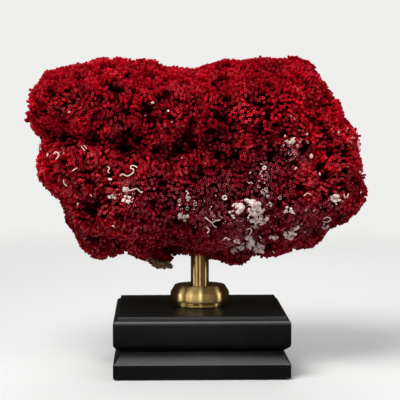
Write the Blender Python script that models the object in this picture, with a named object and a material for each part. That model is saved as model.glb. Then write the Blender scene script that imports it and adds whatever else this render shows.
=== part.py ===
"""Red organ pipe coral on a display stand: a brass post and collar on a black moulded wooden base.

Metres, +Z up. The origin is on the surface that the base stands on, under the middle of the object.
The coral's face is towards -Y.
"""

import math

import bmesh
import bpy
from mathutils import Matrix, Vector, noise

MM = 0.001
GAP = 0.3 * MM  # between pieces that touch

# Base: a square moulded block standing on a coved plinth, with a felt sheet glued under it.
BASE_SIDE = 112 * MM
CORNER_RADIUS = 0.8 * MM
FELT_INSET = 2.5 * MM
FELT_THICKNESS = 0.8 * MM
PLINTH_BOTTOM = FELT_THICKNESS + GAP
PLINTH_FACE_TOP = 9.5 * MM
NECK_INSET = 4.8 * MM
COVE_FOOT = (0.25 * MM, 9.75 * MM)  # inset and height of the cove's lower edge
COVE_BEND = (4.0 * MM, 14.4 * MM)
COVE_HEAD = (NECK_INSET, 17.0 * MM)
NECK_TOP = 17.6 * MM
BLOCK_BOTTOM = NECK_TOP + GAP
BLOCK_UNDER_EDGE = (1.5 * MM, 20.15 * MM)
BLOCK_UNDER_BEND = (0.0, 21.15 * MM)
BLOCK_FACE_BOTTOM = 23.0 * MM
BLOCK_FACE_TOP = 35.3 * MM
SHOULDER_RADIUS = 2.4 * MM
FILLET_INSET = 2.8 * MM
BASE_TOP = 39.85 * MM

# Brass: a plain rod through a foot ring and a turned collar.
ROD_RADIUS = 6.0 * MM
RING_BOTTOM = BASE_TOP + GAP
RING_HEIGHT = 2.6 * MM
RING_RADIUS = 17.2 * MM
RING_FOOT_RADIUS = 16.4 * MM
GROOVE_RADIUS = 16.2 * MM
GROOVE_HEIGHT = 0.5 * MM
COLLAR_BOTTOM = RING_BOTTOM + RING_HEIGHT + GAP
COLLAR_FOOT_RADIUS = 18.1 * MM
COLLAR_RADIUS = 19.4 * MM
BELLY_BOTTOM = 45.9 * MM
BELLY_TOP = 48.7 * MM
LIP_RADIUS = 16.5 * MM
COLLAR_TOP = 53.85 * MM
ROD_TOP = 101 * MM
TURNED_STEPS = 40

# Fixing: a pan-head screw and washer in a counterbore, threaded up into the rod.
SCREW_RADIUS = 2.5 * MM
SCREW_HEAD_RADIUS = 4.5 * MM
SCREW_HEAD_HEIGHT = 3.0 * MM
SCREW_TOP = 55 * MM
RECESS_LENGTH = 5.0 * MM
RECESS_WIDTH = 1.1 * MM
RECESS_DEPTH = 1.6 * MM
WASHER_RADIUS = 6.0 * MM
WASHER_THICKNESS = 1.0 * MM
COUNTERBORE_RADIUS = 6.5 * MM
COUNTERBORE_TOP = 8.0 * MM
FIXING_STEPS = 24

# Coral: its overall box, from the rod's axis, and the lobes that it grew as, in millimetres.
CORAL_LOW = (-114 * MM, -62 * MM, 62 * MM)
CORAL_HIGH = (110 * MM, 62 * MM, 204.5 * MM)
CORAL_TRIANGLES = 5300
VOXEL = 2.4 * MM
CORAL_LOBES = {
    # name: centre x, y, z, then radius x, y, z
    "top_left": (-56, 2, 163, 40, 48, 40),
    "top_left_edge": (-78, 2, 168, 26, 36, 32),
    "brow_left": (-60, -28, 170, 36, 26, 22),
    "left_flap": (-86, -2, 169.5, 27, 36, 27),
    "left_flap_brow": (-86, -22, 172, 22, 24, 18),
    "left_flap_tip": (-100, -6, 158.5, 13, 20, 9),
    "top_middle_left": (-37, 2, 164, 32, 46, 38.5),
    "top_middle": (-14, 2, 158, 36, 48, 38),
    "brow_middle": (-12, -30, 166, 34, 25, 23),
    "top_middle_right": (17, 2, 162.5, 38, 46, 39),
    "top_right": (42, 2, 163, 34, 50, 40),
    "brow_right": (40, -28, 170, 34, 28, 24),
    "right_shoulder": (61, 0, 162.5, 27, 44, 40),
    "right_shoulder_edge": (70, -4, 163, 22.5, 36, 24),
    "right_waist": (40, -20, 146, 38, 34, 20),
    "left_bulge": (-72, -12, 130, 34, 42, 24),
    "left_notch": (-90, -4, 146, 15, 26, 10),
    "left_low": (-62, -10, 106.5, 28.5, 38, 24),
    "left_foot": (-65, -4, 86.5, 17, 28, 17),
    "middle_left_belly": (-38, -16, 116, 40, 43, 34),
    "middle_left_foot": (-36, -2, 92, 20, 28, 22),
    "hanging_tip": (-26, -2, 76, 10, 13, 14),
    "hanging_tip_root": (-8, -2, 86, 14, 18, 15),
    "belly": (2, -16, 114, 46, 44, 38),
    "middle_foot": (8, 0, 92, 22, 26, 25),
    "right_foot": (22, -2, 88, 20, 24, 22),
    "right_belly": (50, -14, 120, 40, 46, 33),
    "right_low": (44, -2, 97, 28, 34, 26),
    "right_low_edge": (62, -2, 102, 26, 34, 27),
    "right_jaw": (80, -4, 113, 28.5, 36, 24),
    "right_cheek": (79, -4, 128, 29.5, 38, 24),
    "right_ear": (85, 2, 149.5, 21, 32, 14),
    "core": (0, 0, 134, 84, 46, 42),
    "back_upper": (-20, 26, 160, 74, 32, 36),
    "back_lower": (10, 24, 122, 76, 34, 38),
    "back_left": (-66, 22, 136, 32, 32, 30),
    "back_right": (58, 24, 140, 36, 32, 34),
    "back_brow_left": (-52, 36, 170, 32, 23, 21),
    "back_brow_right": (38, 36, 167, 34, 24, 22),
    "back_shelf": (-4, 38, 130, 46, 22, 20),
    "back_heel_left": (-54, 34, 108, 27, 24, 19),
    "back_heel_right": (54, 36, 112, 30, 24, 20),
}
# Deep hollows where tubes have broken away: centre x, y, z, radius and depth, in millimetres.
CORAL_HOLLOWS = (
    (-56, -46, 184, 10, 4),
    (-32, -54, 163, 12, 6),
    (-6, -54, 156, 11, 5),
    (-50, -48, 148, 14, 5),
    (-98, -26, 152, 10, 5),
    (-82, -42, 132, 10, 5),
    (-72, -44, 104, 9, 5),
    (18, -52, 146, 12, 5),
    (66, -46, 140, 9, 5),
    (30, 52, 150, 14, 6),
    (-60, 46, 120, 12, 6),
    (64, 50, 118, 12, 5),
)
LUMP_SIZE = 17 * MM
LUMP_HEIGHT = 2.6 * MM

# Rod socket drilled up into the coral.
SOCKET_RADIUS = ROD_RADIUS + GAP
SOCKET_TOP = ROD_TOP + GAP


def clear_scene():
    for obj in list(bpy.data.objects):
        bpy.data.objects.remove(obj)


def make_material(name, color, roughness, metallic=0.0):
    material = bpy.data.materials.new(name)
    material.use_nodes = True
    shader = material.node_tree.nodes["Principled BSDF"]
    shader.inputs["Base Color"].default_value = (*color, 1.0)
    shader.inputs["Roughness"].default_value = roughness
    shader.inputs["Metallic"].default_value = metallic
    material.diffuse_color = (*color, 1.0)
    return material


def add_object(name, bm, material, sharp_degrees=40):
    """A node from a bmesh, with its normals out, shaded smooth but for its sharp edges."""
    bmesh.ops.recalc_face_normals(bm, faces=bm.faces)
    mesh = bpy.data.meshes.new(name)
    bm.to_mesh(mesh)
    bm.free()
    mesh.shade_smooth()
    mesh.set_sharp_from_angle(angle=math.radians(sharp_degrees))
    mesh.materials.append(material)
    obj = bpy.data.objects.new(name, mesh)
    bpy.context.scene.collection.objects.link(obj)
    return obj


def arc(centre, radius, start_degrees, end_degrees, steps):
    """Points (across, z) along an elliptical or round arc."""
    rx, rz = radius if isinstance(radius, tuple) else (radius, radius)
    points = []
    for step in range(steps + 1):
        angle = math.radians(start_degrees + (end_degrees - start_degrees) * step / steps)
        points.append((centre[0] + rx * math.cos(angle), centre[1] + rz * math.sin(angle)))
    return points


def bend(start, control, end, steps):
    """Points (across, z) along a curve that leaves start towards control and comes from it to end."""
    points = []
    for step in range(steps + 1):
        share = step / steps
        weights = ((1 - share) ** 2, 2 * share * (1 - share), share**2)
        across = sum(weight * point[0] for weight, point in zip(weights, (start, control, end)))
        height = sum(weight * point[1] for weight, point in zip(weights, (start, control, end)))
        points.append((across, height))
    return points


# --- Wooden base ---------------------------------------------------------------------


def rounded_square(inset, z):
    """One level of the base's moulding: a round-cornered square set in from the base's outline."""
    corner_steps = 3
    radius = CORNER_RADIUS
    half = BASE_SIDE / 2 - inset - radius
    corners = ((half, half, 0), (-half, half, 90), (-half, -half, 180), (half, -half, 270))
    points = []
    for x, y, start in corners:
        for px, py in arc((x, y), radius, start, start + 90, corner_steps):
            points.append(Vector((px, py, z)))
    return points


def moulded_solid(profile):
    """A closed solid whose square outline follows a profile of (inset, z), from bottom to top."""
    bm = bmesh.new()
    loops = [[bm.verts.new(p) for p in rounded_square(inset, z)] for inset, z in profile]
    count = len(loops[0])
    for lower, upper in zip(loops, loops[1:]):
        for i in range(count):
            j = (i + 1) % count
            bm.faces.new((lower[i], lower[j], upper[j], upper[i]))
    bm.faces.new(reversed(loops[0]))
    bm.faces.new(loops[-1])
    return bm


def add_cutter(name, bm):
    """A hidden solid that a Boolean takes away from a piece."""
    bmesh.ops.recalc_face_normals(bm, faces=bm.faces)
    mesh = bpy.data.meshes.new(name)
    bm.to_mesh(mesh)
    bm.free()
    obj = bpy.data.objects.new(name, mesh)
    obj.hide_render = True
    obj.display_type = "WIRE"
    bpy.context.scene.collection.objects.link(obj)
    return obj


def drill(name, radius, bottom, top):
    """A cutter for a round hole up the Z axis."""
    bm = bmesh.new()
    place = Matrix.Translation((0, 0, (bottom + top) / 2))
    size = {"radius1": radius, "radius2": radius, "depth": top - bottom, "segments": FIXING_STEPS}
    bmesh.ops.create_cone(bm, cap_ends=True, matrix=place, **size)
    return add_cutter(name, bm)


def cut(obj, cutter):
    """Takes the cutter away from a piece."""
    modifier = obj.modifiers.new(cutter.name, "BOOLEAN")
    modifier.operation = "DIFFERENCE"
    modifier.object = cutter


def plinth_profile():
    """A plain face, then a hollow cove that sweeps back from its top edge to the neck."""
    foot_bevel = 0.3 * MM
    profile = [(foot_bevel, PLINTH_BOTTOM), (0.0, PLINTH_BOTTOM + foot_bevel), (0.0, PLINTH_FACE_TOP)]
    profile += bend(COVE_FOOT, COVE_BEND, COVE_HEAD, 8)
    profile += [(NECK_INSET, NECK_TOP)]
    return profile


def block_profile():
    """A sloping underside, a plain face, a rounded shoulder, and a small step up to the top."""
    top_radius = 0.5 * MM
    under = [(NECK_INSET, BLOCK_BOTTOM), *bend(BLOCK_UNDER_EDGE, BLOCK_UNDER_BEND, (0.0, BLOCK_FACE_BOTTOM), 5)]
    shoulder_arc = arc((0, BLOCK_FACE_TOP), SHOULDER_RADIUS, 0, 90, 6)
    top_arc = arc((0, BASE_TOP - top_radius), top_radius, 0, 90, 3)
    shoulder = [(SHOULDER_RADIUS - x, z) for x, z in shoulder_arc]
    top = [(FILLET_INSET + top_radius - x, z) for x, z in top_arc]
    return [*under, *shoulder, (FILLET_INSET, BLOCK_FACE_TOP + SHOULDER_RADIUS), *top]


def make_felt(material):
    """The thin sheet under the base that it stands on."""
    sheet = [(FELT_INSET, 0.0), (FELT_INSET, FELT_THICKNESS)]
    add_object("felt_sheet", moulded_solid(sheet), material)


def make_base(material):
    """The moulded block and the coved plinth, both drilled for the fixing screw."""
    plinth = add_object("base_plinth", moulded_solid(plinth_profile()), material, 25)
    cut(plinth, drill("plinth_counterbore", COUNTERBORE_RADIUS, 0, COUNTERBORE_TOP))
    cut(plinth, drill("plinth_screw_hole", SCREW_RADIUS + GAP, MM, NECK_TOP + MM))
    block = add_object("base_block", moulded_solid(block_profile()), material, 25)
    cut(block, drill("block_screw_hole", SCREW_RADIUS + GAP, BLOCK_BOTTOM - MM, BASE_TOP + MM))


# --- Turned brass --------------------------------------------------------------------


def turned_solid(profile, steps):
    """A closed solid turned about Z from a profile of (radius, z), which may start and end on the axis."""
    bm = bmesh.new()
    rings = []
    for radius, z in profile:
        if radius == 0:
            rings.append([bm.verts.new((0, 0, z))])
            continue
        angles = [2 * math.pi * i / steps for i in range(steps)]
        rings.append([bm.verts.new((radius * math.cos(a), radius * math.sin(a), z)) for a in angles])
    on_axis = profile[0][0] == 0
    pairs = zip(rings, rings[1:]) if on_axis else zip(rings, rings[1:] + rings[:1])
    for first, second in pairs:
        for i in range(steps):
            j = (i + 1) % steps
            if len(first) == 1:
                bm.faces.new((first[0], second[j], second[i]))
            elif len(second) == 1:
                bm.faces.new((first[i], first[j], second[0]))
            else:
                bm.faces.new((first[i], first[j], second[j], second[i]))
    return bm


def make_foot_ring(material):
    """The low ring that stands on the base, tapering in to its foot, with a turned groove at its top."""
    bore = ROD_RADIUS + GAP
    top = RING_BOTTOM + RING_HEIGHT
    groove_bottom = top - GROOVE_HEIGHT
    edge = 0.3 * MM
    profile = [
        (bore, RING_BOTTOM),
        (RING_FOOT_RADIUS, RING_BOTTOM),
        (RING_FOOT_RADIUS + 0.5 * MM, RING_BOTTOM + 0.5 * MM),
        (RING_RADIUS - 0.1 * MM, RING_BOTTOM + 1.3 * MM),
        (RING_RADIUS, groove_bottom - edge),
        (RING_RADIUS - edge, groove_bottom),
        (GROOVE_RADIUS, groove_bottom),
        (GROOVE_RADIUS, top),
        (bore, top),
    ]
    add_object("foot_ring", turned_solid(profile, TURNED_STEPS), material, 30)


def make_collar(material):
    """The collar: an upright belly rounded in below, then a crease and a cone that closes in to the lip."""
    bore = ROD_RADIUS + GAP
    round_bend = (COLLAR_RADIUS, COLLAR_BOTTOM + 0.5 * MM)
    crease = (COLLAR_RADIUS - 0.2 * MM, BELLY_TOP + 0.7 * MM)
    lip_edge = 0.3 * MM
    profile = [
        (bore, COLLAR_BOTTOM),
        *bend((COLLAR_FOOT_RADIUS, COLLAR_BOTTOM), round_bend, (COLLAR_RADIUS, BELLY_BOTTOM), 5),
        (COLLAR_RADIUS, BELLY_TOP),
        crease,
        (LIP_RADIUS + 0.2 * MM, COLLAR_TOP - lip_edge),
        (LIP_RADIUS - lip_edge, COLLAR_TOP),
        (LIP_RADIUS - 1.2 * MM, COLLAR_TOP),
        (LIP_RADIUS - 1.8 * MM, COLLAR_TOP - lip_edge),
        (bore, COLLAR_TOP - lip_edge),
    ]
    add_object("collar", turned_solid(profile, TURNED_STEPS), material, 30)


def make_rod(material):
    """The brass rod, tapped from below for the screw and chamfered at its top."""
    tapped = SCREW_RADIUS + GAP
    chamfer = 0.6 * MM
    profile = [
        (0, SCREW_TOP + MM),
        (tapped, SCREW_TOP + MM),
        (tapped, RING_BOTTOM),
        (ROD_RADIUS, RING_BOTTOM),
        (ROD_RADIUS, ROD_TOP - chamfer),
        (ROD_RADIUS - chamfer, ROD_TOP),
        (0, ROD_TOP),
    ]
    add_object("support_rod", turned_solid(profile, TURNED_STEPS), material, 30)


# --- Fixing --------------------------------------------------------------------------


def make_fixing(material):
    """The screw that holds rod, collar, ring and base together from below, and its washer."""
    washer_top = COUNTERBORE_TOP - GAP
    washer_bottom = washer_top - WASHER_THICKNESS
    washer = [
        (SCREW_RADIUS + GAP, washer_bottom),
        (WASHER_RADIUS, washer_bottom),
        (WASHER_RADIUS, washer_top),
        (SCREW_RADIUS + GAP, washer_top),
    ]
    add_object("fixing_washer", turned_solid(washer, FIXING_STEPS), material, 30)
    head_top = washer_bottom - GAP
    head_bottom = head_top - SCREW_HEAD_HEIGHT
    dome = arc((SCREW_HEAD_RADIUS - MM, head_bottom + MM), MM, -90, 0, 3)
    screw = [
        (0, head_bottom),
        *dome,
        (SCREW_HEAD_RADIUS, head_top),
        (SCREW_RADIUS, head_top),
        (SCREW_RADIUS, SCREW_TOP - MM),
        (SCREW_RADIUS - 0.6 * MM, SCREW_TOP),
        (0, SCREW_TOP),
    ]
    obj = add_object("fixing_screw", turned_solid(screw, FIXING_STEPS), material, 30)
    cut(obj, cross_recess(head_bottom))


def cross_recess(head_bottom):
    """A cutter for the cross recess in the screw's head: two crossed blades as one outline."""
    long, short = RECESS_LENGTH / 2, RECESS_WIDTH / 2
    quarter = [(long, -short), (long, short), (short, short)]
    outline = []
    for _ in range(4):
        outline += quarter
        quarter = [(-y, x) for x, y in quarter]
    bm = bmesh.new()
    below = head_bottom - MM
    face = bm.faces.new([bm.verts.new((x, y, below)) for x, y in outline])
    grown = bmesh.ops.extrude_face_region(bm, geom=[face])
    raised = [v for v in grown["geom"] if isinstance(v, bmesh.types.BMVert)]
    bmesh.ops.translate(bm, verts=raised, vec=(0, 0, MM + RECESS_DEPTH))
    return add_cutter("screw_recess", bm)


# --- Coral ---------------------------------------------------------------------------


def lobes_mesh():
    """The lobes as overlapping ellipsoids in one mesh."""
    bm = bmesh.new()
    for x, y, z, rx, ry, rz in CORAL_LOBES.values():
        place = Matrix.Translation(Vector((x, y, z)) * MM) @ Matrix.Diagonal((rx * MM, ry * MM, rz * MM, 1))
        bmesh.ops.create_icosphere(bm, subdivisions=4, radius=1, matrix=place)
    mesh = bpy.data.meshes.new("coral_lobes")
    bm.to_mesh(mesh)
    bm.free()
    return mesh


def evaluated_mesh(mesh, modifiers):
    """A mesh with modifiers applied, given as (type, settings)."""
    obj = bpy.data.objects.new("coral_work", mesh)
    bpy.context.scene.collection.objects.link(obj)
    for kind, settings in modifiers:
        modifier = obj.modifiers.new(kind.lower(), kind)
        for name, value in settings.items():
            setattr(modifier, name, value)
    graph = bpy.context.evaluated_depsgraph_get()
    made = bpy.data.meshes.new_from_object(obj.evaluated_get(graph))
    bpy.data.objects.remove(obj)
    return made


def relief(point, normal):
    """How far a point of the coral moves along its normal: lumps out and hollows in."""
    lump = noise.fractal(point / LUMP_SIZE, 0.6, 2.0, 2) * LUMP_HEIGHT
    hollow = 0.0
    for x, y, z, radius, depth in CORAL_HOLLOWS:
        away = (point - Vector((x, y, z)) * MM).length / (radius * MM)
        if away < 1:
            hollow = max(hollow, depth * MM * (1 - away * away) ** 2)
    return normal * (lump - hollow)


def fit_to_box(mesh):
    """Stretches the coral to fill its stated box."""
    points = [v.co for v in mesh.vertices]
    low = Vector([min(p[i] for p in points) for i in range(3)])
    high = Vector([max(p[i] for p in points) for i in range(3)])
    for vertex in mesh.vertices:
        for i in range(3):
            share = (vertex.co[i] - low[i]) / (high[i] - low[i])
            vertex.co[i] = CORAL_LOW[i] + share * (CORAL_HIGH[i] - CORAL_LOW[i])


def make_coral(material):
    """The whole colony, out to the tips of its tubes, with the drilled socket for the rod."""
    remesh = ("REMESH", {"mode": "VOXEL", "voxel_size": VOXEL})
    smooth = ("SMOOTH", {"factor": 0.5, "iterations": 9})
    mesh = evaluated_mesh(lobes_mesh(), [remesh, smooth])
    moved = [v.co + relief(v.co, v.normal) for v in mesh.vertices]
    for vertex, place in zip(mesh.vertices, moved):
        vertex.co = place
    triangles = sum(len(face.vertices) - 2 for face in mesh.polygons)
    thin = ("DECIMATE", {"ratio": CORAL_TRIANGLES / triangles, "use_collapse_triangulate": True})
    mesh = evaluated_mesh(mesh, [thin])
    fit_to_box(mesh)
    bm = bmesh.new()
    bm.from_mesh(mesh)
    coral = add_object("coral_colony", bm, material, 180)
    cut(coral, drill("rod_socket", SOCKET_RADIUS, CORAL_LOW[2] - 5 * MM, SOCKET_TOP))


def main():
    clear_scene()
    coral_red = make_material("coral_red", (0.42, 0.008, 0.020), 0.6)
    brass = make_material("brass", (0.60, 0.43, 0.18), 0.25, 1.0)
    black = make_material("black_lacquer", (0.012, 0.012, 0.013), 0.35)
    felt = make_material("black_felt", (0.015, 0.015, 0.016), 0.95)
    steel = make_material("zinc_steel", (0.55, 0.55, 0.56), 0.35, 1.0)
    make_felt(felt)
    make_base(black)
    make_foot_ring(brass)
    make_collar(brass)
    make_rod(brass)
    make_fixing(steel)
    make_coral(coral_red)


main()
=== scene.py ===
import math

import bmesh
import bpy
import numpy as np
from mathutils import Euler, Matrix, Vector, noise
from mathutils.bvhtree import BVHTree
from mathutils.kdtree import KDTree


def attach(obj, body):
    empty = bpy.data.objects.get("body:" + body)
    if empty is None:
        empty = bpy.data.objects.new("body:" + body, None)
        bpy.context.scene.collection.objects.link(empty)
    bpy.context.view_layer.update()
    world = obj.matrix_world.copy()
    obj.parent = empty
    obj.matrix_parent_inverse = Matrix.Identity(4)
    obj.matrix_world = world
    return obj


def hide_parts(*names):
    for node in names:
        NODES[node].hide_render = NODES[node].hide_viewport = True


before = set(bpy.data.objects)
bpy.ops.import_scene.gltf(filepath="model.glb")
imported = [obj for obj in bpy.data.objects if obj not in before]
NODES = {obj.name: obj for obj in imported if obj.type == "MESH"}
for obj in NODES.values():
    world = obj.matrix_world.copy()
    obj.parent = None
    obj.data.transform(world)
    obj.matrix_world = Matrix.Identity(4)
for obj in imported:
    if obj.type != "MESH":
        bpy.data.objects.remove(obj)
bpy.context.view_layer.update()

# Looks of an organ pipe coral on its display stand.
#
# The stand keeps its CAD shapes and only gets materials. The plain coral solid is the envelope of the colony:
# it is replaced by an inner mass, painted very dark as the shade between the pipes, and the hollow pipes that
# stand on it in bundles, with the lime crusts, worm tubes and shell chips that have settled between them.
# Sizes and places are millimetres unless a name says otherwise, in the frame of the CAD model: x to the
# right, y to the back, z up from the underside.

MM = 0.001
SEED = 7

# The colony: how the pipes stand.
PIPE_SPACING = 1.85
PIPE_CANDIDATES = 240_000
PIPE_RADIUS = 0.88
PIPE_BORE = 0.74  # share of the outer radius
PIPE_LENGTH = 8.6
LENGTH_SPREAD = 0.8  # how much longer or shorter a pipe may be
RADIUS_SHARES = (0.88, 1.1)  # of PIPE_RADIUS
BORE_SHARES = (0.92, 1.08)  # of PIPE_BORE
BORE_DEPTH = 2.2
PIPE_SIDES = 7
SHORT_SHARE = 0.4  # of the pipes, which end lower than their neighbours
SHORT_BY = (0.7, 3.2)
AIM_SHARES = (0.5, 0.3, 0.2)  # in a pipe's direction: its bundle's, the slope's and the surface's own
TIP_JITTER = 0.3
STRAY_SHARE = 0.1  # of the pipes, which lean their own way
STRAY_LEAN = 0.3
PIPE_LEAN = 0.08  # of all the others
CRACK_SIZE = 11.0  # the scale of the winding cracks between bundles
CRACK_WIDTH = 0.13
CRACK_DEPTH = 3.4
CRACKED_AREAS = 25.0  # the scale of the areas that have cracks
BROAD_REACH = 9.0  # the slope under a pipe is averaged this far round it
HOLLOW_REACH = 14.0  # how far round a pipe counts towards how deep in a hollow it stands
BUNDLE_SPACING = 8.0
BUNDLE_HEIGHTS = (-2.3, 1.8)
BUNDLE_FLATNESS = 0.4
BUNDLE_GAP = 0.45
BUNDLE_LEAN = 0.09
BUNDLE_SHADES = (0.72, 1.15)
PIPE_SHADES = (0.65, 1.25)
# Short pipes are darkened by this: painted shade, as they stand lower, and partly an older tone.
SHORT_PAINTED_SHADE = 0.72
FOOT_PAINTED_SHADE = 0.5
PAINTED_LIGHT_BY_HEIGHT = 0.72  # painted light: pipes grow brighter by this from the foot to the crest
# Painted shade: how much of its brightness a pipe loses on a crack, where it faces up, and deep in a hollow.
CRACK_PAINTED_SHADE = 0.4
TOP_PAINTED_SHADE = 0.42
HOLLOW_PAINTED_SHADE = 0.35
FACE_ON = 1.3  # pipes turn to the front or the back: their direction's y is stretched by this
LEVEL_TOP = 0.55  # how much of the unevenness is gone where the colony faces up
# Where the z of the slope's normal is below UNDERSIDE, only this share of the unevenness is left and the
# tips sink by this much.
UNDERSIDE = -0.3
UNDERSIDE_UNEVENNESS = 0.4
UNDERSIDE_SINKS = 1.2
MASS_DEPTH = 6.2
MASS_VOXEL = 1.8
TIP_VOXEL = 1.6

# The rod and its socket in the colony.
ROD_KEEP_CLEAR = 7.3
SOCKET_RADIUS = 6.3
SOCKET_TOP = 101.3
SOCKET_BOTTOM = 50.0

# The tables for the front were drawn up on a slightly smaller colony, so front_place() stretches their x
# and z.
FRONT_WIDER = 1.032
FRONT_TALLER = 1.034
FRONT_SHIFT = (0.6, -5.7)

# Dark holes between the bundles on the front: x, z, radius.
FRONT_PITS = (
    (-53, 182, 4.2), (-58, 186, 3.0), (-23, 179, 2.6), (-33, 170, 3.0), (-32, 164, 3.6), (-50, 160, 3.0),
    (-10, 153, 3.4), (-6, 148, 2.8), (-27, 177, 2.6), (-71, 133, 3.0), (-68, 125, 3.4), (-91, 126, 2.5),
    (-68, 109, 4.0), (-64, 112, 2.6), (63, 146, 3.2), (57, 138, 3.4), (70, 160, 1.8), (66, 164, 1.6),
    (72, 136, 2.8), (-80, 176, 2.4), (-88, 168, 2.4), (-71, 180, 2.2), (-18, 190, 2.2), (10, 165, 2.8),
    (6, 156, 2.2), (-24, 126, 2.0), (43, 160, 1.6), (28, 178, 1.6), (35, 172, 1.6), (57, 179, 1.8),
    (39, 185, 1.8), (62, 174, 1.8), (-45, 168, 2.4), (-56, 165, 2.4), (-85, 160, 2.2), (81, 114, 2.4),
    (90, 120, 2.2), (88, 131, 2.2), (76, 128, 2.2), (79, 144, 2.2), (89, 144, 2.2), (-86, 139, 2.6),
    (-46, 145, 2.6), (-15, 145, 2.2), (19, 142, 2.4), (-29, 113, 2.2), (-17, 101, 2.2), (-62, 134, 2.2),
)
SCATTERED_PIT_SPACING = 15.0
SCATTERED_PIT_CLEARANCE = 9.0  # from the listed ones
SCATTERED_PIT_RADII = (1.5, 2.8)
PIT_DEPTH = 5.0
PIT_RAGGED = (0.6, 1.4)  # a pit's edge wanders between these shares of its radius
PIT_LIP = 1.4
PIT_PAINTED_SHADE = 0.5  # painted shade: what a pipe at a pit's edge keeps of its brightness
PIT_PAINTED_SHADE_REACH = 3.0
DEPTH_JUMP = 3.5

# Pale dust on the pipe ends: x, z, radius, strength. The back has its own patches.
FRONT_DUST = (
    (38, 134, 6, 1.0), (37, 126, 5, 1.0), (52, 143, 6, 0.9), (58, 141, 5, 0.9), (4, 108, 9, 0.6),
    (-18, 118, 7, 0.4), (12, 122, 8, 0.4), (30, 118, 9, 0.5), (-52, 160, 8, 0.3), (-80, 172, 8, 0.3),
    (26, 92, 11, 0.5), (62, 100, 10, 0.3), (86, 132, 8, 0.3), (-46, 122, 7, 0.35),
)
BACK_DUST = ((20, 120, 16, 0.7), (-60, 135, 14, 0.5), (64, 150, 12, 0.4), (-20, 160, 12, 0.4))
# Older, purplish pipes low on the front: x, z, radius.
OLD_PIPES = ((6, 116, 30), (-20, 108, 22), (40, 128, 22), (60, 104, 26), (26, 96, 24))

# Painted light and shade on the front: where its pipes are made brighter or darker than their neighbours: x,
# z, radius, by what share.
FRONT_PAINTED_LIGHT = (
    (-62.6, 126, 14, 0.6), (-37.6, 122, 12, 0.7), (38, 166, 12, 0.7), (75, 148, 22, 0.6), (-50, 105, 17, 0.5),
    (-64, 146, 12, 0.4), (60, 168, 12, 0.4), (-28, 121, 9, 0.5),
)
FRONT_PAINTED_SHADE = (
    (-12, 86, 17, 0.4), (84, 98, 14, 0.45), (-78, 94, 9, 0.45), (-102, 166, 12, 0.55),
    (98, 120, 10, 0.4), (41, 190, 24, 0.3), (72, 178, 14, 0.4), (-88, 186, 14, 0.3),
)

# Lime crusts on the front: centre x, z, half width, half height, number of lumps, lump radius.
FRONT_CRUSTS = (
    (30, 113.4, 4.0, 1.7, 11, 1.7),
    (22.5, 110.5, 3.0, 3.0, 18, 1.1),
    (33.5, 108, 5.0, 3.4, 34, 0.8),
    (34.5, 102.6, 6.0, 2.2, 34, 0.75),
    (29.6, 86.4, 2.6, 2.6, 12, 1.0),
    (35.6, 82.4, 3.2, 3.0, 16, 1.1),
    (24, 85, 2.2, 2.6, 14, 0.7),
    (27, 107, 2.4, 3.2, 8, 0.6),
    (-47, 121.6, 2.2, 1.5, 9, 0.8),
    (-45.5, 116.5, 2.6, 2.2, 13, 0.8),
    (-54.5, 117.5, 1.7, 1.3, 7, 0.7),
    (81.5, 114.5, 2.8, 2.6, 15, 0.85),
    (53, 151, 2.4, 2.4, 15, 0.8),
    (54.5, 92, 3.0, 2.4, 16, 0.8),
    (58, 97.5, 1.5, 2.4, 9, 0.65),
    (51, 93.5, 1.0, 0.9, 4, 0.7),
    (51.5, 109.5, 2.4, 1.9, 11, 0.7),
    (28.5, 91, 1.6, 1.6, 9, 0.65),
    (21, 89, 1.8, 1.3, 8, 0.6),
    (44, 91, 3.0, 1.0, 12, 0.7),
    (17.6, 107, 1.6, 2.2, 7, 0.5),
    (40, 112, 1.6, 2.4, 8, 0.5),
)
# Greyer crusts, the same way.
FRONT_GREY_CRUSTS = (
    (-12, 105.5, 2.8, 2.4, 15, 0.75),
    (20, 83, 2.0, 2.2, 10, 0.9),
    (76, 97, 2.6, 1.2, 9, 0.7),
    (-9, 117, 1.4, 1.6, 7, 0.6),
    (38, 119, 2.2, 2.0, 10, 0.6),
    (31, 98, 3.2, 1.4, 10, 0.6),
)
# Brown dirt that hangs from the lowest lobe, the same way.
HANGING_CRUSTS = (
    (-30, 75.2, 3.4, 1.6, 14, 0.8), (-24.5, 72.8, 4.4, 1.8, 24, 0.9), (-20.5, 72.4, 3.0, 1.6, 14, 0.8),
)
HANGING_DROP = 2.6
# The crusts' lumps: their sizes as shares of the radius, how far they lift off, how they are stretched.
LUMP_SHARES = (0.6, 1.2)
LUMP_LIFTS = (-0.4, 1.3)
LUMP_STRETCHES = (0.7, 1.3)
FRONT_WORMS_THINNER = 0.68
FRONT_WORM_LIFTS = (0.2, 0.8)
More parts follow.
